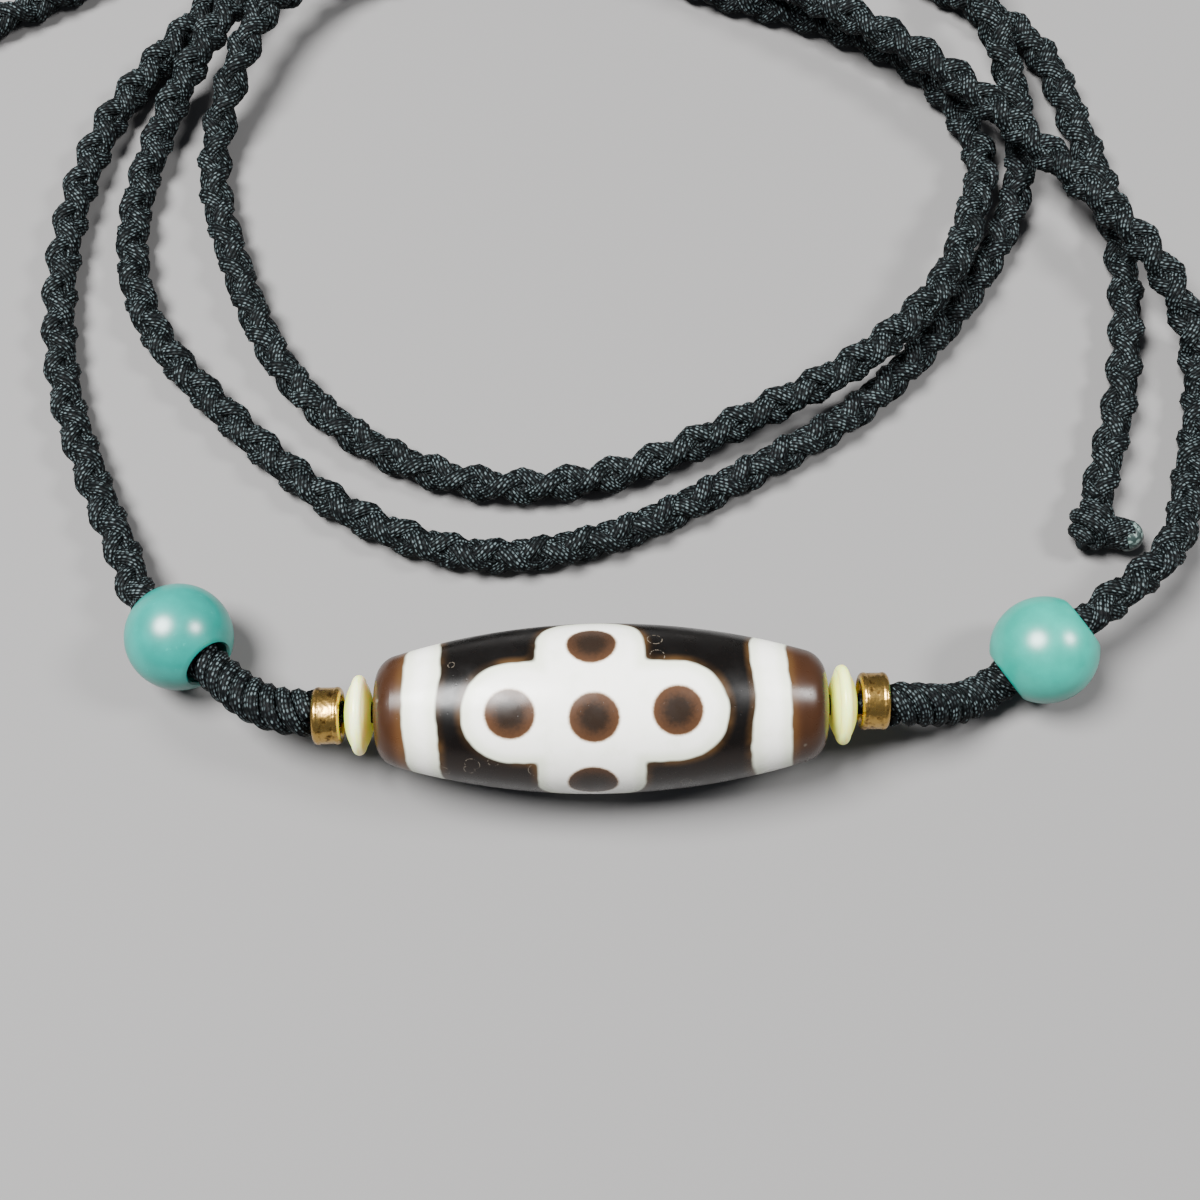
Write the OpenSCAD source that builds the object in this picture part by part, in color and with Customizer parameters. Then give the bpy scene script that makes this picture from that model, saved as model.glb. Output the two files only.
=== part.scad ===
// Dzi bead necklace, laid out on a flat surface.
// X runs along the bead string, Y points away from it over the cords, Z is up.
// The origin lies on the surface, under the middle of the bead string.

/* [Dzi bead] */
// Length of the dzi bead along its bore
dzi_l = 38; // [32:0.5:44]
// Diameter at the middle of the dzi bead
dzi_d = 14.4; // [13:0.2:16]
// Diameter where the barrel meets the rounded shoulders
dzi_end_d = 9.4; // [8.6:0.2:10.4]
// Length of each rounded shoulder
dzi_shoulder_w = 1.6; // [1.2:0.1:2]
// Diameter of the drilled bore
dzi_bore_d = 2.6; // [2.4:0.1:3]

/* [Stone discs] */
// Diameter of the two translucent stone discs
disc_d = 6.8; // [6:0.1:8]
// Thickness of a disc at its middle
disc_w = 2.6; // [2.2:0.1:3.2]
// Thickness of a disc at its rounded rim
disc_rim_w = 1; // [0.8:0.1:2.1]
// Diameter of a disc's bore
disc_bore_d = 2.8; // [2.7:0.1:3.2]

/* [Metal spacers] */
// Diameter over a spacer's rolled rims
spacer_d = 4.9; // [4.5:0.1:5.6]
// Diameter of a spacer's waist between its rims
spacer_waist_d = 4.8; // [4.2:0.1:4.8]
// Length of a spacer along the thread
spacer_w = 2.4; // [2:0.1:3]
// Radius of a spacer's rolled rims
spacer_rim_r = 0.4; // [0.3:0.02:0.5]
// Diameter of a spacer's bore
spacer_bore_d = 3; // [2.8:0.1:3.2]

/* [Turquoise beads] */
// Diameter of the two turquoise beads
bead_d = 9.4; // [9:0.1:12]
// Length of a turquoise bead along its bore
bead_l = 8.2; // [7.4:0.1:8.6]
// Radius of the rounding round a turquoise bead's two mouths
bead_round_r = 1.4; // [0.8:0.1:1.6]
// Diameter of a turquoise bead's bore
bead_bore_d = 4.3; // [4.2:0.1:5]
// Width of the bevel at a bore's mouth
bead_bevel = 0.25; // [0.1:0.05:0.3]

/* [Cord and knots] */
// Diameter of the braided cord
cord_d = 3.7; // [3.2:0.1:3.8]
// Diameter of the thread through the dzi bead
thread_d = 2; // [1.6:0.1:2.1]
// Diameter of the left knotted sleeve at its spacer
left_sleeve_d = 4.2; // [3.8:0.1:4.6]
// Diameter of the right knotted sleeve at its spacer
right_sleeve_d = 3.9; // [3.6:0.1:4.6]
// Diameter of both sleeves where they enter the turquoise beads
sleeve_end_d = 3.5; // [3.2:0.1:3.7]
// Number of knots along a sleeve
sleeve_knots = 9; // [6:1:12]
// Height of the spiral ridge on a sleeve
sleeve_ridge = 0.15; // [0:0.05:0.2]
// Length of the sliding knot that joins the two tails
slider_l = 14; // [10:0.5:18]
// Thickness of the thread wound round the sliding knot
slider_wall = 0.8; // [0.6:0.1:1.2]
// Diameter of the knot at the end of each tail
end_knot_d = 4.4; // [4:0.1:5]

/* [Layout] */
// Room between neighbours on the thread
gap = 0.15; // [0.1:0.05:0.3]
// Distance along X from the left spacer to the left turquoise bead's centre
left_bead_run = 12.6; // [11.5:0.1:14]
// Distance along X from the right spacer to the right turquoise bead's centre
right_bead_run = 14.6; // [13:0.1:16]
// Offset of the left turquoise bead from the dzi bead's axis
left_bead_side = 8; // [6:0.1:9]
// Offset of the right turquoise bead from the dzi bead's axis
right_bead_side = 5.6; // [4:0.1:7]
// Direction of the left turquoise bead's bore, seen from above
left_bead_turn = 136; // [128:1:144]
// Direction of the right turquoise bead's bore, seen from above
right_bead_turn = 31; // [24:1:38]
// Slope of the left turquoise bead's bore
left_bead_slope = -9; // [-14:1:-4]
// Slope of the right turquoise bead's bore
right_bead_slope = 22; // [18:1:25]
// How far the left disc and spacer have slipped aside on the thread
left_slip = -0.3; // [-0.3:0.05:0.3]
// How far the right spacer has slipped aside on the thread
right_slip = 0.3; // [-0.3:0.05:0.3]

/* [Hidden] */
$fn = 48;

// Stations along the thread, measured from the dzi bead's centre
disc_at = dzi_l / 2 + gap + disc_w / 2;
spacer_at = disc_at + disc_w / 2 + gap + spacer_w / 2;
sleeve_at = spacer_at + spacer_w / 2 + gap;

// The bead string is centred on the origin
dzi_x = (left_bead_run - right_bead_run) / 2;
dzi_y = (dzi_d - 2 * left_bead_side - bead_d) / 4;
dzi_at = [dzi_x, dzi_y, dzi_d / 2];
spacer_end = spacer_at + spacer_w / 2;
left_bead_at = [dzi_x - spacer_end - left_bead_run, dzi_y + left_bead_side, bead_d / 2];
right_bead_at = [dzi_x + spacer_end + right_bead_run, dzi_y + right_bead_side, bead_d / 2];
left_bead_dir = heading(left_bead_turn, left_bead_slope);
right_bead_dir = heading(right_bead_turn, right_bead_slope);

// Where a sleeve ends and the cord begins inside a turquoise bead's bore,
// and how far straight cord stands out of the bead, from the bead's centre
joint_at = -0.37 * bead_l;
cord_out = 0.6 * bead_l;

// Dzi profile: a long barrel arc and the shoulder arcs that run into it
end_s = dzi_l / 2 - dzi_shoulder_w;
dzi_sag = (dzi_d - dzi_end_d) / 2;
barrel_r = (end_s * end_s + dzi_sag * dzi_sag) / (2 * dzi_sag);
barrel_angle = asin(end_s / barrel_r);
shoulder_r = dzi_shoulder_w / (1 - sin(barrel_angle));
shoulder_s = dzi_l / 2 - shoulder_r;
shoulder_in = dzi_end_d / 2 - shoulder_r * cos(barrel_angle);
dzi_mouth = 0.35;

// Disc faces are arcs that end over the middle of the round rim
disc_rim_at = (disc_d - disc_rim_w) / 2;
disc_sag = (disc_w - disc_rim_w) / 2;
disc_face_r = (disc_rim_at * disc_rim_at + disc_sag * disc_sag) / (2 * disc_sag);

// Turquoise profile: a ball whose ends round over into short flat faces
bead_round_at = bead_l / 2 - bead_round_r;
bead_ball_in = bead_d / 2 - bead_round_r;
bead_round_in = sqrt(bead_ball_in * bead_ball_in - bead_round_at * bead_round_at);

// Sleeves: sides and rings of the swept shape, and the turn of its spiral
sleeve_sides = 16;
sleeve_rings = 27;
sleeve_pull = 0.4;

// Sliding knot: the two cords lie side by side in one slot
slider_x = -10;
slider_y = 90;
slider_row = 4;
slider_lift = 1;
slot_r = cord_d / 2 + gap;

// Cord routes on the surface: x, y, height above lying flat
cord_sides = 8;
left_route = [
    [-44, 14, 0.8],
    [-48, 22.5, 0],
    [-51.5, 32, 0],
    [-53, 42.5, 0],
    [-52.5, 53, 0],
    [-50, 62.5, 0],
    [-45.5, 70.5, 0],
    [-40, 79, 0],
    [-38, 89, 0],
    [-31, 98.5, 0],
    [-18, 104.5, 0],
    [-3, 106, 0],
    [12, 104.5, 0],
    [25, 98.5, 0],
    [34, 89.5, 0.8],
    [38, 80, 3.7],
    [39.5, 72.5, 4.1],
    [41.5, 66, 2.2],
    [42.5, 59, 0.2],
    [40.5, 50, 0],
    [34, 39, 0],
    [24.5, 29, 0],
    [12.5, 21.5, 0],
    [0, 15.5, 0],
    [-12.5, 14, 0],
    [-25.5, 19.5, 0],
    [-38, 31, 0],
    [-44.5, 40, 0],
    [-46.5, 50, 0],
    [-44.5, 61.5, 0.4],
    [-40.5, 70, 2.6],
    [-36.5, 78.5, 1.9],
    [-34, 85, 0.4],
    [-28, 91, 0],
    [-17, 92, 1],
    [-3, 92, 1],
    [8, 92, 0],
    [20, 89, 0],
    [35, 79.5, 0],
    [45, 71, 0],
    [48.5, 60, 0],
    [51, 46.5, 0],
    [49.5, 32, 0],
    [45, 18, 0.2],
];
right_route = [
    [50, 12, 3.8],
    [54, 20.5, 0.2],
    [56.5, 31, 0],
    [55, 38, 2.6],
    [50.5, 45.5, 4.3],
    [41, 57.5, 4.2],
    [33, 66, 4.1],
    [24, 72.5, 4.1],
    [11, 80, 4.1],
    [-3, 83, 4.1],
    [-16, 82.5, 1],
    [-26, 80.5, 1.6],
    [-33, 75, 3.8],
    [-36.5, 67.5, 3.4],
    [-39, 57.5, 0],
    [-36.5, 46.5, 0],
    [-31, 34, 0],
    [-22.5, 25.5, 0],
    [-11, 21, 0],
    [1, 22, 0],
    [13.5, 27, 1.4],
    [24, 32, 3.4],
    [32, 39.5, 3.8],
    [36, 48.5, 3],
    [38, 57.5, 0.2],
    [33.5, 67.5, 0],
    [24, 74, 0],
    [11, 79, 0],
    [3, 85, 0.3],
    [-3, 88, 1],
    [-17, 88, 1],
    [-29.5, 88, 4.4],
    [-39.5, 87.5, 4.2],
    [-48.5, 84, 0.4],
    [-57, 79, 0],
    [-66.5, 74, 0.2],
];
left_path = cord_path(left_bead_at, left_bead_dir, left_route);
right_path = cord_path(right_bead_at, right_bead_dir, right_route);

// Unit vector at a turn round Z and a slope above the surface
function heading(turn, slope) =
    [cos(turn) * cos(slope), sin(turn) * cos(slope), sin(slope)];

// The points of one cord: out of its bead, then along its route
function cord_path(bead_at, dir, route) = concat(
    [bead_at + joint_at * dir, bead_at + cord_out * dir],
    [for (row = route) [row[0], row[1], cord_d / 2 + row[2]]]
);

// Point at t from 0 to 1 on the curve with four control points
function curve_point(p, t) =
    pow(1 - t, 3) * p[0] + 3 * t * pow(1 - t, 2) * p[1]
    + 3 * t * t * (1 - t) * p[2] + t * t * t * p[3];

// Direction of a path at one of its points
function unit(v) = v / norm(v);
function path_dir(path, i) =
    unit(path[min(i + 1, len(path) - 1)] - path[max(i - 1, 0)]);

// Points of one ring round a path, with its own radius at each angle
function ring(centre, dir, radii) =
    let (side = unit(cross(dir, [0, 0, 1])), up = cross(side, dir), n = len(radii))
    [for (k = [0 : n - 1])
        centre + radii[k] * (cos(360 * k / n) * side + sin(360 * k / n) * up)];

// Solid swept through rings of equal point counts
module skin(rings) {
    n = len(rings[0]);
    last = len(rings) - 1;
    sides = [for (i = [0 : last - 1], k = [0 : n - 1], half = [0, 1])
        let (a = i * n + k, b = i * n + (k + 1) % n)
        half == 0 ? [a, b, b + n] : [a, b + n, a + n]];
    start_cap = [[for (k = [n - 1 : -1 : 0]) k]];
    end_cap = [[for (k = [0 : n - 1]) last * n + k]];
    polyhedron([for (r = rings, p = r) p], concat(sides, start_cap, end_cap), convexity = 10);
}

// Place a shape drawn along Z at a point, with Z turned to a direction
module along(at, dir) {
    translate(at)
        rotate([0, acos(dir[2]), atan2(dir[1], dir[0])])
            children();
}

// Place a shape drawn along Z on the thread's line
module on_thread(x, slip) {
    translate([dzi_x + x, dzi_y + slip, dzi_d / 2])
        rotate([0, 90, 0])
            children();
}

// Radial section of the dzi bead, radius along X and length along Y
module dzi_section() {
    reach = barrel_r + 1;
    edge = [dzi_d / 2 - barrel_r + reach * cos(barrel_angle), reach * sin(barrel_angle)];
    intersection() {
        translate([dzi_d / 2 - barrel_r, 0])
            circle(r = barrel_r, $fn = 180);
        polygon([
            [0, -shoulder_s], [shoulder_in, -shoulder_s], [edge[0], -edge[1]], [dzi_d, -edge[1]],
            [dzi_d, edge[1]], edge, [shoulder_in, shoulder_s], [0, shoulder_s]
        ]);
    }
    for (s = [-shoulder_s, shoulder_s])
        translate([shoulder_in, s])
            circle(r = shoulder_r);
    translate([0, -dzi_l / 2])
        square([shoulder_in, dzi_l]);
}

// The etched agate bead: a barrel with rounded shoulders, drilled end to end
module dzi_bead() {
    color("saddlebrown")
        on_thread(0, 0)
            rotate_extrude($fn = 96)
                difference() {
                    dzi_section();
                    translate([-dzi_d, -dzi_l])
                        square([dzi_d + dzi_bore_d / 2, 2 * dzi_l]);
                    for (s = [-1, 1])
                        polygon([
                            [0, s * (dzi_l / 2 - dzi_mouth)],
                            [dzi_bore_d / 2, s * (dzi_l / 2 - dzi_mouth)],
                            [dzi_bore_d / 2 + dzi_mouth, s * dzi_l / 2],
                            [0, s * dzi_l / 2]
                        ]);
                }
}

// A lens-shaped stone disc with a rounded rim
module disc(x, slip) {
    color("khaki")
        on_thread(x, slip)
            rotate_extrude()
                difference() {
                    union() {
                        intersection() {
                            translate([0, disc_face_r - disc_w / 2])
                                circle(r = disc_face_r, $fn = 120);
                            translate([0, disc_w / 2 - disc_face_r])
                                circle(r = disc_face_r, $fn = 120);
                            square([2 * disc_rim_at, disc_w * 2], center = true);
                        }
                        translate([disc_rim_at, 0])
                            circle(d = disc_rim_w, $fn = 36);
                    }
                    translate([-disc_d, -disc_w])
                        square([disc_d + disc_bore_d / 2, 2 * disc_w]);
                }
}

module disc_left() {
    disc(-disc_at, left_slip);
}

module disc_right() {
    disc(disc_at, 0);
}

// A short metal tube with rolled rims
module spacer(x, slip) {
    rim_at = [spacer_d / 2 - spacer_rim_r, spacer_w / 2 - spacer_rim_r];
    color("goldenrod")
        on_thread(x, slip)
            rotate_extrude()
                difference() {
                    union() {
                        translate([0, -rim_at[1]])
                            square([spacer_waist_d / 2, 2 * rim_at[1]]);
                        for (s = [-1, 1])
                            translate([rim_at[0], s * rim_at[1]])
                                circle(r = spacer_rim_r, $fn = 24);
                    }
                    translate([-spacer_d, -spacer_w])
                        square([spacer_d + spacer_bore_d / 2, 2 * spacer_w]);
                }
}

module spacer_left() {
    spacer(-spacer_at, left_slip);
}

module spacer_right() {
    spacer(spacer_at, right_slip);
}

// Radial section of a turquoise bead, radius along X and length along Y
module turquoise_section() {
    reach = (bead_d / 2 + 1) / bead_ball_in;
    edge = [reach * bead_round_in, reach * bead_round_at];
    intersection() {
        circle(d = bead_d, $fn = 72);
        polygon([
            [0, -bead_round_at], [bead_round_in, -bead_round_at], [edge[0], -edge[1]],
            [bead_d, -edge[1]], [bead_d, edge[1]], edge,
            [bead_round_in, bead_round_at], [0, bead_round_at]
        ]);
    }
    for (s = [-bead_round_at, bead_round_at])
        translate([bead_round_in, s])
            circle(r = bead_round_r);
    translate([0, -bead_l / 2])
        square([bead_round_in, bead_l]);
}

// A round turquoise bead, drilled and bevelled at both mouths
module turquoise(at, dir) {
    mouth_r = bead_bore_d / 2;
    color("turquoise")
        along(at, dir)
            rotate_extrude($fn = 72)
                difference() {
                    turquoise_section();
                    translate([-bead_d, -bead_d])
                        square([bead_d + mouth_r, 2 * bead_d]);
                    for (s = [-1, 1])
                        polygon([
                            [0, s * (bead_l / 2 - bead_bevel)],
                            [mouth_r, s * (bead_l / 2 - bead_bevel)],
                            [mouth_r + bead_bevel, s * bead_l / 2],
                            [0, s * bead_l / 2]
                        ]);
                }
}

module turquoise_left() {
    turquoise(left_bead_at, left_bead_dir);
}

module turquoise_right() {
    turquoise(right_bead_at, right_bead_dir);
}

// The thread that the dzi bead, discs and spacers hang on
module thread() {
    color("black")
        on_thread(-sleeve_at, 0)
            cylinder(d = thread_d, h = 2 * sleeve_at);
}

// A sleeve of spiral knots from a spacer into a turquoise bead's bore
module sleeve(side, start_d, bead_at, dir) {
    from = dzi_at + [side * sleeve_at, 0, 0];
    mouth = bead_at - 0.6 * bead_l * dir;
    pull = sleeve_pull * norm(mouth - from);
    p = [from, from + [side * pull, 0, 0], mouth - pull * dir, mouth];
    curve = [for (i = [0 : sleeve_rings - 2]) curve_point(p, i / (sleeve_rings - 2))];
    path = concat(curve, [bead_at + joint_at * dir]);
    color("black")
        skin([for (i = [0 : sleeve_rings - 1])
            let (
                t = i / (sleeve_rings - 1),
                heading = i == 0 ? [side, 0, 0] : i < sleeve_rings - 2 ? path_dir(path, i) : dir,
                r = ((1 - t) * start_d + t * sleeve_end_d) / 2,
                turn = 360 * sleeve_knots * t / 2
            )
            ring(path[i], heading, [for (k = [0 : sleeve_sides - 1])
                r - sleeve_ridge * abs(sin(180 * k / sleeve_sides * 2 - turn))])
        ]);
}

module sleeve_left() {
    sleeve(-1, left_sleeve_d, left_bead_at, left_bead_dir);
}

module sleeve_right() {
    sleeve(1, right_sleeve_d, right_bead_at, right_bead_dir);
}

// A braided cord as a plain tube along its path
module cord(path) {
    color("darkslategray")
        skin([for (i = [0 : len(path) - 1])
            ring(path[i], path_dir(path, i), [for (k = [1 : cord_sides]) cord_d / 2])]);
}

module cord_left() {
    cord(left_path);
}

module cord_right() {
    cord(right_path);
}

// The outline of the sliding knot or of its slot, round at both sides
module two_row_outline(r) {
    for (s = [-1, 1])
        translate([0, s * slider_row / 2])
            circle(r = r);
    square([2 * r, slider_row], center = true);
}

// The thread wound round both tails, so that the loop slides open and shut
module sliding_knot() {
    color("black")
        translate([slider_x - slider_l / 2, slider_y, cord_d / 2 + slider_lift])
            rotate([0, 90, 0])
                linear_extrude(slider_l)
                    difference() {
                        two_row_outline(slot_r + slider_wall);
                        two_row_outline(slot_r);
                    }
}

// A tight knot on the end of a tail, with the cut tip melted
module end_knot(path) {
    last = path[len(path) - 1];
    dir = path_dir(path, len(path) - 1);
    side = unit(cross(dir, [0, 0, 1]));
    lump = last + (end_knot_d / 2 + gap) * dir;
    color("black")
        hull() {
            along(last, dir)
                cylinder(d = cord_d, h = 0.4, $fn = 16);
            translate([lump[0], lump[1], end_knot_d / 2])
                sphere(d = end_knot_d, $fn = 24);
            translate([lump[0], lump[1], end_knot_d / 2] - 0.75 * end_knot_d * side)
                sphere(d = 0.7 * end_knot_d, $fn = 20);
        }
}

module end_knot_left() {
    end_knot(right_path);
}

module end_knot_right() {
    end_knot(left_path);
}

dzi_bead();
disc_left();
disc_right();
spacer_left();
spacer_right();
turquoise_left();
turquoise_right();
thread();
sleeve_left();
sleeve_right();
cord_left();
cord_right();
sliding_knot();
end_knot_left();
end_knot_right();
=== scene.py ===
import itertools
import math

import bpy
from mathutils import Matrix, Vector


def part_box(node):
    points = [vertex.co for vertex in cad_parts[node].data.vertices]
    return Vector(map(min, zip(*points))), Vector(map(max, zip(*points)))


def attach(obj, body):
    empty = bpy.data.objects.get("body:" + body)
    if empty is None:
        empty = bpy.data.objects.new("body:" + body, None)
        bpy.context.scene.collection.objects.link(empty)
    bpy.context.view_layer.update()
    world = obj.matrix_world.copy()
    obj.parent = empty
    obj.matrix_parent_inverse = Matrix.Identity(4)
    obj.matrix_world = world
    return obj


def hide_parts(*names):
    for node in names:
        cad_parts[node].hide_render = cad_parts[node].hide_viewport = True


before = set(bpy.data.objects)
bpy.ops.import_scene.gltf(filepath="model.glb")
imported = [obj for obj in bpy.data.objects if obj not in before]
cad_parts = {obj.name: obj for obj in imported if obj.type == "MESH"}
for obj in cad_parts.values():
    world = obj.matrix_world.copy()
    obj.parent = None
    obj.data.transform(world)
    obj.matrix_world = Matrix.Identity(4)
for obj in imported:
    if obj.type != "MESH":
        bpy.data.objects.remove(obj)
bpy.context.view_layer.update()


# Dzi bead
# An etched agate barrel, drilled end to end. Two ivory bands and lobes with nine round
# eyes are etched into the dark stone, and the whole is polished to a soft gloss.
dzi_low, dzi_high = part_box("dzi_bead")
dzi_at = (dzi_low + dzi_high) / 2
barrel_face = math.radians(71.7)
lobe_r, eye_r = 4.4, 2.0
eyes = ((-7.45, -3.3), (-0.6, -6), (6.2, -2.2), (-0.75, 47.5), (-0.75, -58),
        (-7.4, 176), (6.2, 174), (-0.8, 128), (-0.8, 222))
ivory, ivory_edge = (0.88, 0.87, 0.81, 1), (0.68, 0.71, 0.58, 1)
dark, dark_low = (0.0022, 0.0017, 0.0014, 1), (0.012, 0.0052, 0.0026, 1)
caramel, amber = (0.062, 0.031, 0.010, 1), (0.15, 0.062, 0.020, 1)
tip_brown = (0.025, 0.010, 0.0045, 1)
eye_brown, eye_dark = (0.052, 0.024, 0.0115, 1), (0.014, 0.0085, 0.0055, 1)
tan, nail_mark = (0.24, 0.15, 0.085, 1), (0.13, 0.11, 0.085, 1)

def add(tree, kind, feeds=None, **settings):
    """A new node with its settings made and its inputs fed, by values or by other nodes' outputs."""
    node = tree.nodes.new(kind)
    for key, value in settings.items():
        setattr(node, key, value)
    for key, value in (feeds or {}).items():
        if isinstance(value, bpy.types.NodeSocket):
            tree.links.new(value, node.inputs[key])
        else:
            node.inputs[key].default_value = value
    return node

def calc(tree, operation, a, b=0.0, c=0.0):
    """The result of one Math node."""
    return add(tree, "ShaderNodeMath", {0: a, 1: b, 2: c}, operation=operation).outputs[0]

def ramp(tree, value, low, high, start=0.0, end=1.0):
    """A value eased from start to end as another one goes from low to high."""
    feeds = {"Value": value, "From Min": low, "From Max": high, "To Min": start, "To Max": end}
    return add(tree, "ShaderNodeMapRange", feeds, interpolation_type="SMOOTHSTEP").outputs["Result"]

def blended(tree, share, first, second):
    """One colour turning into another by a share from 0 to 1."""
    return add(tree, "ShaderNodeMix", {0: share, 6: first, 7: second}, data_type="RGBA").outputs[2]

def effect(name, inputs, outputs):
    """A shader node group with plain number or vector sockets, and its input and output nodes."""
    tree = bpy.data.node_groups.new(name, "ShaderNodeTree")
    for way, sockets in (("INPUT", inputs), ("OUTPUT", outputs)):
        for socket in sockets:
            kind = "NodeSocketVector" if socket == "Lie" else "NodeSocketFloat"
            tree.interface.new_socket(name=socket, in_out=way, socket_type=kind)
    return tree, tree.nodes.new("NodeGroupInput").outputs, tree.nodes.new("NodeGroupOutput").inputs

def finish(name, roughness, **settings):
    """A new material, its node tree and its Principled shader, with constants set on the shader itself."""
    material = bpy.data.materials.new(name)
    material.use_nodes = True
    shader = material.node_tree.nodes["Principled BSDF"]
    shader.inputs["Roughness"].default_value = roughness
    for key, value in settings.items():
        shader.inputs[key.replace("_", " ")].default_value = value
    return material, material.node_tree, shader

def feed(tree, shader, **sources):
    """Links sources to the shader's inputs by name."""
    for key, source in sources.items():
        tree.links.new(source, shader.inputs[key.replace("_", " ")])

def millimetres(tree, centre):
    """The place on a piece in millimetres, measured from a point in its frame."""
    place = add(tree, "ShaderNodeTexCoord").outputs["Object"]
    place = add(tree, "ShaderNodeVectorMath", {0: place, 1: centre}, operation="SUBTRACT").outputs[0]
    return add(tree, "ShaderNodeVectorMath", {0: place, "Scale": 1000.0}, operation="SCALE").outputs[0]

def noise(tree, place, scale, detail=3.0, roughness=0.5):
    """Plain noise from 0 to 1 at a scale of features to the millimetre."""
    feeds = {"Vector": place, "Scale": scale, "Detail": detail, "Roughness": roughness}
    return add(tree, "ShaderNodeTexNoise", feeds).outputs["Fac"]

spot, spot_in, spot_out = effect(
    "spot_on_barrel", ["Along", "Turn", "Radius", "At", "At Turn", "Half Length", "Half Turn"], ["Distance"])
past = calc(spot, "ABSOLUTE", calc(spot, "SUBTRACT", spot_in["Along"], spot_in["At"]))
past = calc(spot, "MAXIMUM", calc(spot, "SUBTRACT", past, spot_in["Half Length"]), 0.0)
apart = calc(spot, "WRAP", calc(spot, "SUBTRACT", spot_in["Turn"], spot_in["At Turn"]), math.pi, -math.pi)
apart = calc(spot, "SUBTRACT", calc(spot, "ABSOLUTE", apart), spot_in["Half Turn"])
apart = calc(spot, "MAXIMUM", apart, 0.0)
apart = calc(spot, "MULTIPLY", apart, spot_in["Radius"])
reach = calc(spot, "ADD", calc(spot, "MULTIPLY", past, past), calc(spot, "MULTIPLY", apart, apart))
spot.links.new(calc(spot, "SQRT", reach), spot_out["Distance"])

agate, tree, shader = finish("etched_agate", 0.28, Specular_IOR_Level=0.3)
lie = millimetres(tree, dzi_at)
place = add(tree, "ShaderNodeSeparateXYZ", {0: lie}).outputs
near = calc(tree, "MULTIPLY", place["Y"], -1.0)
turn = calc(tree, "SUBTRACT", calc(tree, "ARCTAN2", place["Z"], near), barrel_face)
up_squared = calc(tree, "MULTIPLY", place["Z"], place["Z"])
girth = calc(tree, "SQRT", calc(tree, "MULTIPLY_ADD", near, near, up_squared))
wander = ramp(tree, noise(tree, lie, 0.14, 0.0), 0.25, 0.75, -0.4, 0.4)
grain = noise(tree, lie, 3.2, 6.0, 0.65)
cloud = noise(tree, lie, 0.6, 4.0)

def outside(at, at_turn, size, half_l=0.0, half_turn=0.0):
    """How many millimetres the barrel lies outside a round mark. Turns are in degrees from the front."""
    feeds = {"Along": place["X"], "Turn": turn, "Radius": girth, "At": at, "At Turn": math.radians(at_turn),
             "Half Length": half_l, "Half Turn": math.radians(half_turn)}
    mark = add(tree, "ShaderNodeGroup", feeds, node_tree=spot)
    return calc(tree, "SUBTRACT", mark.outputs[0], size)

lobes = None
for at_turn, half_turn in ((-5.3, 53.7), (175, 47)):
    row = outside(-0.55, at_turn + 2.5, lobe_r, half_l=6.5)
    column = outside(-0.85, at_turn, lobe_r + 0.05, half_turn=half_turn)
    cross = calc(tree, "SMOOTH_MIN", row, column, 0.7)
    lobes = cross if lobes is None else calc(tree, "MINIMUM", lobes, cross)
for at, half_w in ((-14.58, 1.42), (14.25, 1.58)):
    off = calc(tree, "ABSOLUTE", calc(tree, "SUBTRACT", calc(tree, "ADD", place["X"], wander), at))
    lobes = calc(tree, "MINIMUM", lobes, calc(tree, "SUBTRACT", off, half_w))
edge = calc(tree, "ADD", lobes, ramp(tree, noise(tree, lie, 0.6, 1.0), 0.3, 0.7, -0.05, 0.05))
pupil = None
for at, at_turn in eyes:
    ring = outside(at, at_turn, eye_r)
    pupil = ring if pupil is None else calc(tree, "MINIMUM", pupil, ring)
pupil = calc(tree, "ADD", pupil, ramp(tree, grain, 0.3, 0.7, -0.025, 0.025))

past_band = calc(tree, "SUBTRACT", calc(tree, "ABSOLUTE", calc(tree, "ADD", place["X"], 0.45)), 14.5)
sunk = ramp(tree, turn, -1.1, -0.3, 1.0, 0.0)
stone = blended(tree, calc(tree, "MULTIPLY", sunk, cloud), dark, dark_low)
stone = blended(tree, ramp(tree, grain, 0.58, 0.75, 0.0, 0.5), stone, dark_low)
near_band = ramp(tree, past_band, 0.6, 2.8, 1.0, 0.05)
near_band = calc(tree, "MULTIPLY", near_band, ramp(tree, turn, -1.1, 0.2, 1.0, 0.3))
tips = blended(tree, near_band, tip_brown, amber)
stone = blended(tree, ramp(tree, past_band, 0.0, 0.2), stone, tips)
halo = ramp(tree, edge, 0.0, 0.85, 0.85, 0.0)
halo = calc(tree, "MULTIPLY", halo, ramp(tree, noise(tree, lie, 0.3), 0.35, 0.65, 0.15, 1.0))
stone = blended(tree, halo, stone, caramel)
pale = blended(tree, ramp(tree, edge, -1.3, -0.15), ivory, ivory_edge)
pale = blended(tree, ramp(tree, cloud, 0.45, 0.75, 0.0, 0.35), pale, ivory_edge)
rough_pupil = calc(tree, "ADD", pupil, calc(tree, "MULTIPLY", grain, 0.8))
iris = blended(tree, ramp(tree, rough_pupil, -0.9, 0.35), eye_dark, eye_brown)
# The eyes are painted darker the further they turn from the front: painted shade.
iris = blended(tree, ramp(tree, calc(tree, "ABSOLUTE", turn), 0.45, 1.0, 0.0, 0.5), iris, eye_dark)
iris = blended(tree, ramp(tree, pupil, -0.1, 0.14), iris, tan)
skin = blended(tree, ramp(tree, edge, -0.2, 0.14), pale, stone)
skin = blended(tree, ramp(tree, pupil, -0.04, 0.3), iris, skin)
pits = add(tree, "ShaderNodeTexVoronoi", {"Vector": lie, "Scale": 1.7, "Randomness": 1.0}).outputs["Distance"]
nails = add(tree, "ShaderNodeTexVoronoi", {"Vector": lie, "Scale": 0.4, "Randomness": 1.0})
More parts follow.
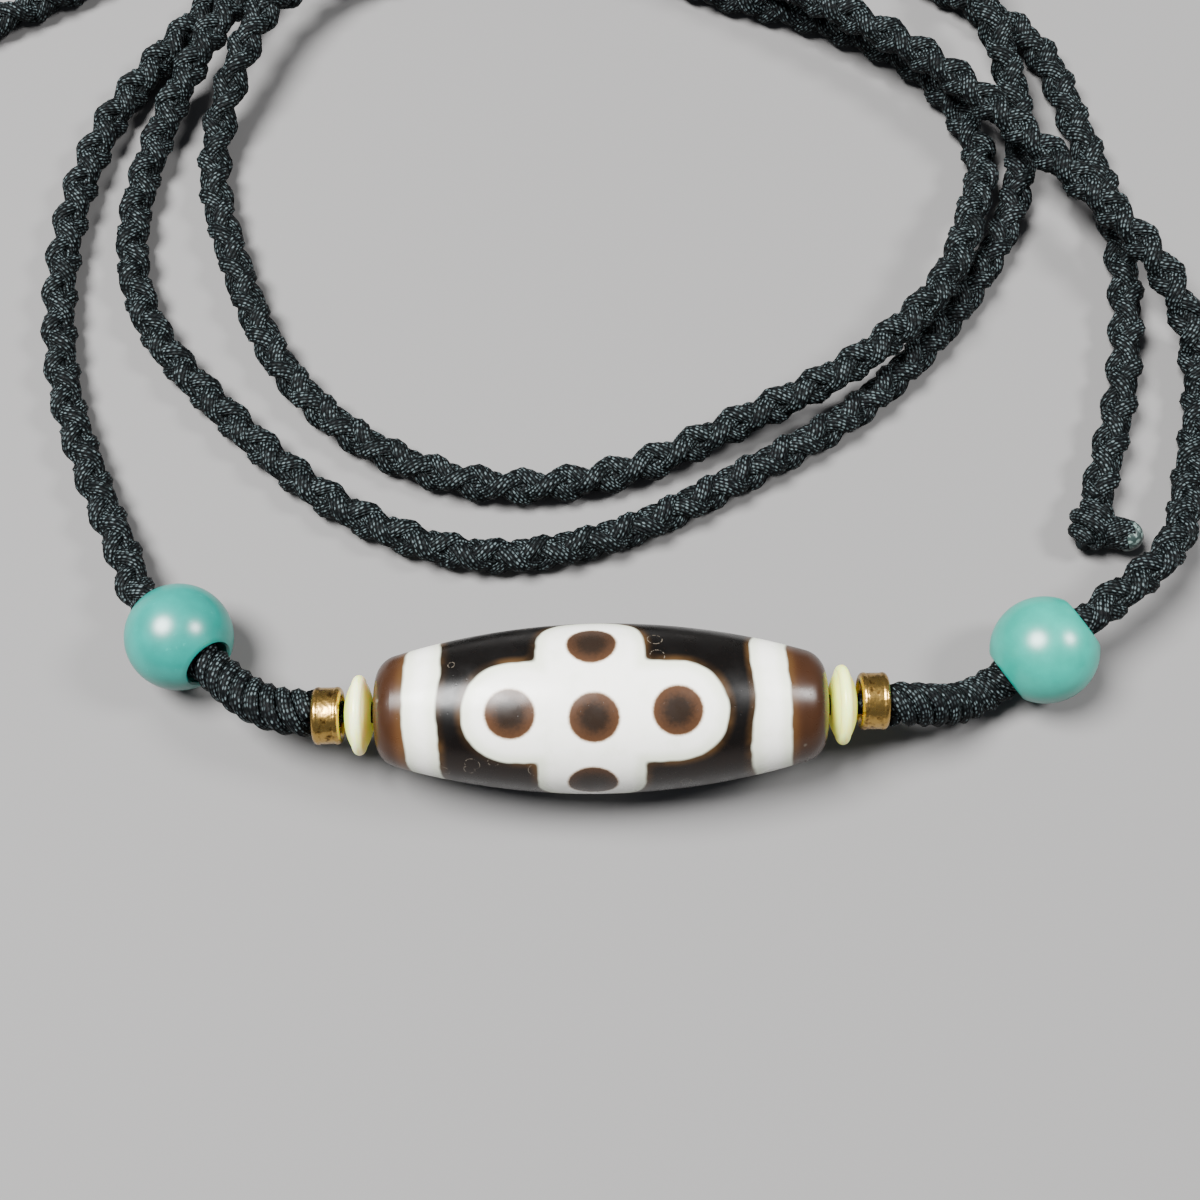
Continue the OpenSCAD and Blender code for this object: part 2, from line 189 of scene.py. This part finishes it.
pick = add(tree, "ShaderNodeSeparateColor", {0: nails.outputs["Color"]}).outputs
nail_r = ramp(tree, pick[0], 0, 1, 0.12, 0.3)
nail = calc(tree, "ABSOLUTE", calc(tree, "SUBTRACT", nails.outputs["Distance"], nail_r))
nail = calc(tree, "MULTIPLY", ramp(tree, nail, 0.0, 0.022, 1.0, 0.0), ramp(tree, pick[1], 0.45, 0.55))
nail = calc(tree, "MULTIPLY", nail, ramp(tree, grain, 0.45, 0.53))
nail = calc(tree, "MULTIPLY", nail, ramp(tree, edge, 0.15, 0.3))
skin = blended(tree, calc(tree, "MULTIPLY", nail, 0.8), skin, nail_mark)
relief = calc(tree, "ADD", ramp(tree, pits, 0.03, 0.12), calc(tree, "MULTIPLY", nail, -1.0))
feed(tree, shader, Base_Color=skin,
     Roughness=ramp(tree, cloud, 0.3, 0.7, 0.24, 0.34),
     Normal=add(tree, "ShaderNodeBump", {"Height": relief, "Strength": 0.25, "Distance": 0.00004}).outputs[0])
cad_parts["dzi_bead"].data.materials[0] = agate


# Stone discs
# Two lens-shaped discs of clear yellow-green stone sit against the ends of the dzi bead.
# Light passes a little way into them. The crown of the rim is painted whitish as a highlight, whiter on the
# left disc, with deep lime beside it, and a faint painted glow brightens them.
lime, lime_deep = (0.93, 0.95, 0.14, 1), (0.82, 0.87, 0.06, 1)
crown_highlights = {"left": (0.97, 0.98, 0.55, 1), "right": (0.82, 0.91, 0.33, 1)}
for side, crown_highlight in crown_highlights.items():
    disc_low, disc_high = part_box("disc_" + side)
    # The lime emission is a painted glow: the stone gives no light of its own.
    yellow_stone, tree, shader = finish(
        "yellow_stone_" + side, 0.3, Subsurface_Weight=0.6, Subsurface_Scale=0.002,
        Emission_Color=lime, Emission_Strength=0.14)
    lie = millimetres(tree, (disc_low + disc_high) / 2)
    drawn = add(tree, "ShaderNodeVectorMath", {0: lie, 1: (3.2, 0.5, 0.5)}, operation="MULTIPLY").outputs[0]
    streak = noise(tree, drawn, 1.0, 3.0)
    stone = blended(tree, ramp(tree, streak, 0.35, 0.7), lime, lime_deep)
    beside = calc(tree, "ABSOLUTE", add(tree, "ShaderNodeSeparateXYZ", {0: lie}).outputs["X"])
    # The crown of the rim is painted whitish: a painted highlight.
    highlit_crown = blended(tree, ramp(tree, streak, 0.4, 0.8), crown_highlight, lime)
    stone = blended(tree, ramp(tree, beside, 0.3, 1.0), highlit_crown, stone)
    feed(tree, shader, Base_Color=stone,
         Normal=add(tree, "ShaderNodeBump", {"Height": noise(tree, lie, 2.0), "Strength": 0.1,
                                            "Distance": 0.00005}).outputs[0])
    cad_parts["disc_" + side].data.materials[0] = yellow_stone


# Metal spacers
# Short gold-toned brass tubes with rolled rims. The metal is lightly hammered and has
# browned in patches.
brass_bright, brass_deep = (0.50, 0.31, 0.085, 1), (0.085, 0.042, 0.010, 1)
gold, tree, shader = finish("gold_brass", 0.22, Metallic=1.0)
lie = millimetres(tree, dzi_at)
dirt = noise(tree, lie, 1.6, 5.0, 0.6)
tarnish = ramp(tree, dirt, 0.49, 0.7)
feed(tree, shader, Base_Color=blended(tree, tarnish, brass_bright, brass_deep),
     Roughness=ramp(tree, dirt, 0.4, 0.7, 0.24, 0.34),
     Normal=add(tree, "ShaderNodeBump", {"Height": noise(tree, lie, 1.1, 2.0), "Strength": 0.9,
                                        "Distance": 0.0001}).outputs[0])
for side in ("left", "right"):
    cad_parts["spacer_" + side].data.materials[0] = gold


# Thread
# Black nylon thread of three twisted plies. It runs through the dzi bead, discs and
# spacers, and shows only in the gaps between them.
thread_low, thread_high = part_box("thread")
thread_d = thread_high.z - thread_low.z
# The pale nylon colour is a painted glint on the fibres.
nylon_dark, nylon_glint = (0.0008, 0.0013, 0.0016, 1), (0.078, 0.102, 0.106, 1)
ring_step = 0.00042

woven, woven_in, woven_out = effect(
    "woven_strand", ["Lie", "Stitch Length", "Stitch Width"], ["Height", "Shade"])
feeds = {0: woven_in["Stitch Length"], 1: woven_in["Stitch Width"], 2: 1.0}
stitch = add(woven, "ShaderNodeCombineXYZ", feeds).outputs[0]
cells = add(woven, "ShaderNodeVectorMath", {0: woven_in["Lie"], 1: stitch}, operation="DIVIDE").outputs[0]
glint_cells = add(woven, "ShaderNodeTexVoronoi", {"Vector": cells, "Scale": 1.0, "Randomness": 0.6},
             voronoi_dimensions="2D")
across = add(woven, "ShaderNodeSeparateXYZ", {0: cells}).outputs["Y"]
across = calc(woven, "ABSOLUTE", calc(woven, "WRAP", calc(woven, "SUBTRACT", across, 0.3), 0.5, -0.5))
# Painted light: the pale flecks are painted glints, and the dark between the threads is painted shade. The
# same masks also give the bump.
thread = ramp(woven, across, 0.2, 0.48, 1.0, 0.0)
glint_strength = add(woven, "ShaderNodeSeparateColor", {0: glint_cells.outputs["Color"]}).outputs[0]
fleck = ramp(woven, glint_cells.outputs["Distance"], 0.14, 0.46, 1.0, 0.0)
woven.links.new(calc(woven, "MULTIPLY_ADD", fleck, 0.5, thread), woven_out["Height"])
glint_and_groove_shade = calc(woven, "MULTIPLY", fleck, ramp(woven, glint_strength, 0.1, 1.0, 0.08, 1.0))
woven.links.new(calc(woven, "MULTIPLY", glint_and_groove_shade, thread), woven_out["Shade"])

def nylon(name, stitch_l, stitch_w, strength):
    """Black nylon with painted glints on its woven stitches and painted shade in the grooves between its
    threads, placed by the strand's UV.
    """
    material, tree, shader = finish(name, 0.6, Specular_IOR_Level=0.08)
    lie = add(tree, "ShaderNodeUVMap", uv_map="strand_mm").outputs[0]
    feeds = {"Lie": lie, "Stitch Length": stitch_l, "Stitch Width": stitch_w}
    weave = add(tree, "ShaderNodeGroup", feeds, node_tree=woven)
    relief = add(tree, "ShaderNodeBump", {"Height": weave.outputs["Height"], "Strength": strength,
                                         "Distance": 0.0001})
    feed(tree, shader, Base_Color=blended(tree, weave.outputs["Shade"], nylon_dark, nylon_glint),
         Normal=relief.outputs[0])
    return material

def directions(line):
    """The line's direction at each of its points."""
    return [(b - a).normalized() for a, b in zip([line[0], *line], [*line[1:], line[-1]])]

def lengths(line):
    """The distance travelled along the line at each of its points."""
    return list(itertools.accumulate([0.0] + [(b - a).length for a, b in zip(line, line[1:])]))

def skinned(name, strands, girth, material):
    """One mesh of closed tubes, each a list of rings. The UV runs along and round a tube in millimetres."""
    points, faces, places = [], [], []
    for rings in strands:
        first, sides = len(points), len(rings[0])
        marks = [1000 * s for s in lengths([sum(ring, Vector()) / sides for ring in rings])]
        points += [p for ring in rings for p in ring]
        for i, (here, ahead) in enumerate(zip(marks, marks[1:])):
            for k in range(sides):
                a, b = first + i * sides + k, first + i * sides + (k + 1) % sides
                faces.append((a, b, b + sides, a + sides))
                near, far = k * girth * 1000 / sides, (k + 1) * girth * 1000 / sides
                places += [(here, near), (here, far), (ahead, far), (ahead, near)]
        last = first + (len(rings) - 1) * sides
        faces += [tuple(range(first, first + sides))[::-1], tuple(range(last, last + sides))]
        places += [(0, 0)] * sides + [(marks[-1], 0)] * sides
    mesh = bpy.data.meshes.new(name)
    mesh.from_pydata(points, [], faces)
    mesh.uv_layers.new(name="strand_mm").data.foreach_set("uv", [v for place in places for v in place])
    mesh.polygons.foreach_set("use_smooth", [True] * len(mesh.polygons))
    mesh.materials.append(material)
    piece = bpy.data.objects.new(name, mesh)
    bpy.context.scene.collection.objects.link(piece)
    return piece

def oval(centre, out, wide, thick, width, sides, groove=0.0):
    """One ring of a strand, flattened against what it lies on, with grooves between its threads."""
    ring = []
    for i in range(sides):
        a, depth = 2 * math.pi * i / sides, groove * (i % 2)
        up, across = (thick / 2 - depth) * math.cos(a), (width / 2 - depth) * math.sin(a)
        ring.append(centre + up * out + across * wide)
    return ring

def wound(line, radii, starts, lead, thick, width, sides=10, groove=0.0):
    """Strands wound side by side round a line, at the line's own radius at each point."""
    strands = [[] for k in range(starts)]
    for centre, ahead, s, radius in zip(line, directions(line), lengths(line), radii):
        side = ahead.cross(Vector((0, 0, 1))).normalized()
        above = side.cross(ahead)
        for k, rings in enumerate(strands):
            angle = 2 * math.pi * (s / lead + k / starts)
            out = math.cos(angle) * side + math.sin(angle) * above
            run = (ahead + 2 * math.pi * radius / lead * out.cross(ahead)).normalized()
            rings.append(oval(centre + radius * out, out, out.cross(run), thick, width, sides, groove))
    return strands

def spaced(start, end, step):
    """Points about a step apart on a straight line."""
    count = max(1, round((end - start).length / step))
    return [start.lerp(end, i / count) for i in range(count + 1)]

def placed(piece, node):
    """The piece stands for a CAD node: it hangs from the root body, and the node is hidden."""
    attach(piece, "root")
    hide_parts(node)
    return piece

thread_nylon = nylon("thread_nylon", 0.3, 0.14, 0.4)
thread_ends = {"left": Vector((thread_low.x, dzi_at.y, dzi_at.z)),
               "right": Vector((thread_high.x, dzi_at.y, dzi_at.z))}
line = spaced(thread_ends["left"], thread_ends["right"], ring_step)
ply_count, ply_lead, ply_girth = 3, 0.0032, 0.0030
plies = wound(line, [thread_d * 0.27] * len(line), ply_count, ply_lead, thread_d * 0.46, thread_d * 0.5, 8)
placed(skinned("thread_plies", plies, ply_girth, thread_nylon), "thread")


# Turquoise beads
# Two glossy round beads of greenish-blue turquoise, each set askew on its cord.
bead_l = 0.0082
left_bead_turn, left_bead_slope = 136, -9
right_bead_turn, right_bead_slope = 31, 22
turquoise_colours = {"left": ((0.0, 0.155, 0.128, 1), (0.0, 0.195, 0.162, 1)),
                     "right": ((0.0, 0.21, 0.16, 1), (0.0, 0.26, 0.2, 1))}

for side, (deep, light) in turquoise_colours.items():
    turquoise, tree, shader = finish("turquoise_" + side, 0.31, Specular_IOR_Level=0.75)
    lie = millimetres(tree, (0, 0, 0))
    cloud = noise(tree, lie, 0.35, 4.0, 0.55)
    fleck = ramp(tree, noise(tree, lie, 2.5, 2.0), 0.68, 0.74, 0.0, 0.35)
    stone = blended(tree, ramp(tree, cloud, 0.3, 0.7), deep, light)
    feed(tree, shader, Base_Color=blended(tree, fleck, stone, (0.02, 0.31, 0.25, 1)),
         Normal=add(tree, "ShaderNodeBump", {"Height": noise(tree, lie, 1.5), "Strength": 0.05,
                                            "Distance": 0.00005}).outputs[0])
    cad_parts["turquoise_" + side].data.materials[0] = turquoise

def heading(turn, slope):
    """Unit vector at a turn round Z and a slope above the surface, in degrees."""
    turn, slope = math.radians(turn), math.radians(slope)
    return Vector((math.cos(turn) * math.cos(slope), math.sin(turn) * math.cos(slope), math.sin(slope)))

def centre_of(node):
    """The middle of a CAD node's box."""
    low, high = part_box(node)
    return (low + high) / 2

left_bead_at, left_bead_dir = centre_of("turquoise_left"), heading(left_bead_turn, left_bead_slope)
right_bead_at, right_bead_dir = centre_of("turquoise_right"), heading(right_bead_turn, right_bead_slope)


# Knotted sleeves
# From each spacer to its turquoise bead three strands of the same woven nylon are knotted
# in a steep spiral round the thread, thicker at the spacer than at the bead.
sleeve_pull = 0.4
sleeve_starts_d, sleeve_end_d = {"left": 0.0042, "right": 0.0039}, 0.0036
sleeve_starts, sleeve_sides, sleeve_girth = 3, 14, 0.0033
coil_w, coil_t, coil_lead, coil_groove = 0.00146, 0.00135, -0.0047, 0.00008
joint_at = -0.37 * bead_l
sleeve_nylon = nylon("sleeve_nylon", 0.36, 0.22, 0.6)

def curve(p, count):
    """Points on the curve with four control points."""
    return [(1 - t) ** 3 * p[0] + 3 * t * (1 - t) ** 2 * p[1] + 3 * t * t * (1 - t) * p[2] + t ** 3 * p[3]
            for t in (i / count for i in range(count + 1))]

def core(line, radii):
    """A round strand that fills the middle of a winding."""
    rings = []
    for centre, ahead, radius in zip(line, directions(line), radii):
        side = ahead.cross(Vector((0, 0, 1))).normalized()
        rings.append(oval(centre, side, side.cross(ahead), 2 * radius, 2 * radius, 10))
    return rings

for side, way, bead_at, bead_dir in (("left", -1, left_bead_at, left_bead_dir),
                                     ("right", 1, right_bead_at, right_bead_dir)):
    start, start_d = thread_ends[side], sleeve_starts_d[side]
    mouth = bead_at - 0.6 * bead_l * bead_dir
    pull = sleeve_pull * (mouth - start).length
    line = curve([start, start + Vector((way * pull, 0, 0)), mouth - pull * bead_dir, mouth], 60)
    line += spaced(mouth, bead_at + joint_at * bead_dir, 0.0003)[1:]
    shares = [s / lengths(line)[-1] for s in lengths(line)]
    radii = [((1 - t) * start_d + t * sleeve_end_d) / 2 - coil_t / 2 for t in shares]
    coils = wound(line, radii, sleeve_starts, coil_lead, coil_t, coil_w, sleeve_sides, coil_groove)
    coils.append(core(line, radii))
    sleeve = skinned("sleeve_coils_" + side, coils, sleeve_girth, sleeve_nylon)
    placed(sleeve, "sleeve_" + side)


# Braided cords
# Black nylon cord, plaited round from four woven strands. One piece leaves each
# turquoise bead, and the two lie crossed over each other in soft loops.
cord_d = 0.0037
cord_out = 0.6 * bead_l
lobe_l = 0.0042
strand_w, strand_t, strand_rise, strand_groove = 0.0018, 0.00155, 0.00034, 0.0001
strand_sides, strand_girth, heart_d = 14, 0.0048, 0.0018
cord_nylon = nylon("cord_nylon", 0.38, 0.3, 0.7)

def smooth_line(knots, step, lowest):
    """Points about a step apart on the smooth curve through the knots, none below the lowest height."""
    ends = [2 * knots[0] - knots[1], *knots, 2 * knots[-1] - knots[-2]]
    line = []
    for a, b, c, d in zip(ends, ends[1:], ends[2:], ends[3:]):
        count = max(1, round((c - b).length / step))
        for t in (i / count for i in range(count)):
            line.append(0.5 * (2 * b + (c - a) * t + (2 * a - 5 * b + 4 * c - d) * t * t
                               + (3 * b - a - 3 * c + d) * t ** 3))
    line.append(knots[-1])
    for p in line:
        p.z = max(p.z, lowest)
    return line

def braid(line, seed):
    """Four strands plaited round a line: two turn one way and two the other, over and under each other."""
    middle = cord_d / 2 - strand_t / 2 - strand_rise
    strands = [[], [], [], []]
    for centre, ahead, s in zip(line, directions(line), lengths(line)):
        side = ahead.cross(Vector((0, 0, 1))).normalized()
        above = side.cross(ahead)
        phase = math.pi * s / lobe_l
        drift = math.pi / 4 + 0.2 * math.sin(s / 0.019 + seed) + 0.1 * math.sin(s / 0.0071)
        for k, rings in enumerate(strands):
            way = 1 if k % 2 == 0 else -1
            angle = way * phase + math.pi * (k // 2) + drift
            out = math.cos(angle) * side + math.sin(angle) * above
            reach = middle + way * strand_rise * math.cos(2 * phase)
            run = (ahead + way * reach * math.pi / lobe_l * out.cross(ahead)).normalized()
            at, wide = centre + reach * out, out.cross(run)
            rings.append(oval(at, out, wide, strand_t, strand_w, strand_sides, strand_groove))
    return strands

def cord_line(bead_at, bead_dir, route):
    """One cord's centreline: out of its bead, then along its route of x, y and lift in millimetres."""
    knots = [bead_at + joint_at * bead_dir, bead_at + cord_out * bead_dir]
    knots += [Vector((x / 1000, y / 1000, cord_d / 2 + lift / 1000)) for x, y, lift in route]
    return smooth_line(knots, ring_step, cord_d / 2)

left_line = cord_line(left_bead_at, left_bead_dir, [
    (-44, 14, 0.8), (-48, 22.5, 0), (-51.5, 32, 0), (-53, 42.5, 0), (-52.5, 53, 0), (-50, 62.5, 0),
    (-45.5, 70.5, 0), (-40, 79, 0), (-38, 89, 0), (-31, 98.5, 0), (-18, 104.5, 0), (-3, 106, 0),
    (12, 104.5, 0), (25, 98.5, 0), (34, 89.5, 0.8), (38, 80, 3.7), (39.5, 72.5, 4.1), (41.5, 66, 2.2),
    (42.5, 59, 0.2), (40.5, 50, 0), (34, 39, 0), (24.5, 29, 0), (12.5, 21.5, 0), (0, 15.5, 0),
    (-12.5, 14, 0), (-25.5, 19.5, 0), (-38, 31, 0), (-44.5, 40, 0), (-46.5, 50, 0), (-44.5, 61.5, 0.4),
    (-40.5, 70, 2.6), (-36.5, 78.5, 1.9), (-34, 85, 0.4), (-28, 91, 0), (-17, 92, 1), (-3, 92, 1),
    (8, 92, 0), (20, 89, 0), (35, 79.5, 0), (45, 71, 0), (48.5, 60, 0), (51, 46.5, 0), (49.5, 32, 0),
    (45, 18, 0.2),
])
right_line = cord_line(right_bead_at, right_bead_dir, [
    (50, 12, 3.8), (54, 20.5, 0.2), (56.5, 31, 0), (55, 38, 2.6), (50.5, 45.5, 4.3), (41, 57.5, 4.2),
    (33, 66, 4.1), (24, 72.5, 4.1), (11, 80, 4.1), (-3, 83, 4.1), (-16, 82.5, 1), (-26, 80.5, 1.6),
    (-33, 75, 3.8), (-36.5, 67.5, 3.4), (-39, 57.5, 0), (-36.5, 46.5, 0), (-31, 34, 0), (-22.5, 25.5, 0),
    (-11, 21, 0), (1, 22, 0), (13.5, 27, 1.4), (24, 32, 3.4), (32, 39.5, 3.8), (36, 48.5, 3),
    (38, 57.5, 0.2), (33.5, 67.5, 0), (24, 74, 0), (11, 79, 0), (3, 85, 0.3), (-3, 88, 1), (-17, 88, 1),
    (-29.5, 88, 4.4), (-39.5, 87.5, 4.2), (-48.5, 84, 0.4), (-57, 79, 0), (-66.5, 74, 0.2),
])

cords = {}
for side, line, seed in (("left", left_line, 0.0), ("right", right_line, 1.9)):
    strands = braid(line, seed) + [core(line[::4] + line[-1:], [heart_d / 2] * len(line))]
    cords[side] = skinned("cord_braid_" + side, strands, strand_girth, cord_nylon)
    placed(cords[side], "cord_" + side)


# Sliding knot
# Nylon thread wound tightly round both cords where they lie side by side, so that the
# necklace can be drawn longer or shorter.
slider_low, slider_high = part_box("sliding_knot")
slider_at = (slider_low + slider_high) / 2
slider_wall, slider_pitch, slider_girth = 0.0008, 0.00118, 0.0032
row_r = (slider_high.z - slider_low.z) / 2 - slider_wall / 2
row_half = (slider_high.y - slider_low.y) / 2 - row_r - slider_wall / 2
knot_nylon = nylon("knot_nylon", 0.36, 0.22, 0.6)

def round_pair(s):
    """A point and its outward direction at a distance round the outline of two cords side by side."""
    flat, arc = 2 * row_half, math.pi * row_r
    s = s % (2 * flat + 2 * arc)
    if s < flat:
        return Vector((0, row_half - s, row_r)), Vector((0, 0, 1))
    if s < flat + arc:
        a = math.pi / 2 + (s - flat) / row_r
        out = Vector((0, math.cos(a), math.sin(a)))
        return Vector((0, -row_half, 0)) + row_r * out, out
    if s < 2 * flat + arc:
        return Vector((0, -row_half + s - flat - arc, -row_r)), Vector((0, 0, -1))
    a = -math.pi / 2 + (s - 2 * flat - arc) / row_r
    out = Vector((0, math.cos(a), math.sin(a)))
    return Vector((0, row_half, 0)) + row_r * out, out

around = 4 * row_half + 2 * math.pi * row_r
slider_l = slider_high.x - slider_low.x - slider_pitch
turns = slider_l / slider_pitch
count = round(turns * 48)
rings = []
for i in range(count + 1):
    at, out = round_pair(i / count * turns * around)
    at = slider_at + at + Vector((-slider_l / 2 + slider_l * i / count, 0, 0))
    rings.append(oval(at, out, Vector((1, 0, 0)), slider_wall, slider_pitch * 1.04, 10))
slider = skinned("slider_winding", [rings], slider_girth, knot_nylon)
placed(slider, "sliding_knot")


# End knots
# Each tail ends in a full overhand knot of its own cord. The cut end sticks out sideways,
# and its tip is melted to a hard grey-green bead so that it can't fray.
end_knot_d, knot_gap = 0.0044, 0.00015
lump_strand, lump_lead = 0.0013, 0.0044
end_strand, end_strand_w, end_lead = 0.001, 0.0015, 0.012
end_girth = 0.0035
melted_dark, melted_pale = (0.014, 0.026, 0.024, 1), (0.13, 0.18, 0.165, 1)

melted, tree, shader = finish("melted_nylon", 0.45, Specular_IOR_Level=0.4)
lie = millimetres(tree, (0, 0, 0))
flecked = ramp(tree, noise(tree, lie, 2.2, 3.0), 0.49, 0.62)
feed(tree, shader, Base_Color=blended(tree, flecked, melted_dark, melted_pale),
     Normal=add(tree, "ShaderNodeBump", {"Height": noise(tree, lie, 2.6), "Strength": 0.4,
                                        "Distance": 0.0001}).outputs[0])

for side, line, cord_side in (("right", left_line, "left"), ("left", right_line, "right")):
    last, ahead = line[-1], directions(line)[-1]
    ahead.z = 0.0
    across = ahead.cross(Vector((0, 0, 1))).normalized()
    lump = last + (end_knot_d / 2 + knot_gap) * ahead
    lump.z = end_knot_d / 2
    tip = lump - 0.75 * end_knot_d * across
    tip_r = 0.35 * end_knot_d
    turns = spaced(lump - 0.48 * end_knot_d * ahead, lump + 0.46 * end_knot_d * ahead, 0.00016)
    swell = [math.sin(math.pi * (0.16 + 0.76 * i / (len(turns) - 1))) ** 0.6 for i in range(len(turns))]
    radii = [max(0.0003, end_knot_d / 2 * share - lump_strand / 2) for share in swell]
    strands = wound(turns, radii, 3, lump_lead, lump_strand, lump_strand * 1.1) + [core(turns, radii)]
    cut = spaced(lump, tip - 0.1 * tip_r * across, 0.0002)
    strands += wound(cut, [tip_r - end_strand / 2] * len(cut), 5, end_lead, end_strand, end_strand_w)
    dome = [tip - tip_r * reach * across for reach in (-0.5, -0.1, 0.2, 0.45, 0.65, 0.8, 0.9, 0.96)]
    dome_radii = [tip_r * share for share in (0.8, 0.93, 0.93, 0.84, 0.7, 0.52, 0.34, 0.12)]
    strands.append(core(dome, dome_radii))
    knot = skinned("end_knot_coils_" + side, strands, end_girth, knot_nylon)
    knot.data.materials.append(melted)
    for face in knot.data.polygons[-10 * (len(dome) - 1) - 2:]:
        face.material_index = 1
    placed(knot, "end_knot_" + side)


# Table, light and camera
# A plain pale surface under soft studio light, seen from the photograph's place.
bpy.ops.mesh.primitive_plane_add(size=3)
floor = bpy.context.object
floor.name = "floor"
floor_paint, tree, shader = finish("floor_paint", 0.8)
shader.inputs["Base Color"].default_value = (0.145, 0.142, 0.14, 1)
floor.data.materials.append(floor_paint)

def soft_light(name, at, target, size, power):
    """A round area light that faces a target."""
    light = bpy.data.lights.new(name, "AREA")
    light.shape, light.size, light.energy = "DISK", size, power
    lamp = bpy.data.objects.new(name, light)
    bpy.context.scene.collection.objects.link(lamp)
    lamp.location = at
    lamp.rotation_euler = (Vector(target) - Vector(at)).to_track_quat("-Z", "Y").to_euler()

soft_light("softbox", (-0.30, 0.06, 0.66), (0, 0.02, 0), 0.36, 23.0)
soft_light("window", (0.36, 0.05, 0.40), (0, 0.02, 0), 0.14, 3.8)
world = bpy.data.worlds.new("studio")
world.use_nodes = True
world.node_tree.nodes["Background"].inputs["Color"].default_value = (0.85, 0.9, 1.0, 1)
world.node_tree.nodes["Background"].inputs["Strength"].default_value = 0.22
bpy.context.scene.world = world

camera = bpy.data.objects.new("camera", bpy.data.cameras.new("camera"))
bpy.context.scene.collection.objects.link(camera)
camera.location = (-0.0018, -0.04822, 0.14427)
camera.rotation_euler = Vector((0.00588, 0.37456, -0.92718)).to_track_quat("-Z", "Y").to_euler()
camera.data.sensor_width = 36
camera.data.lens = 51
camera.data.clip_start = 0.005
bpy.context.scene.camera = camera
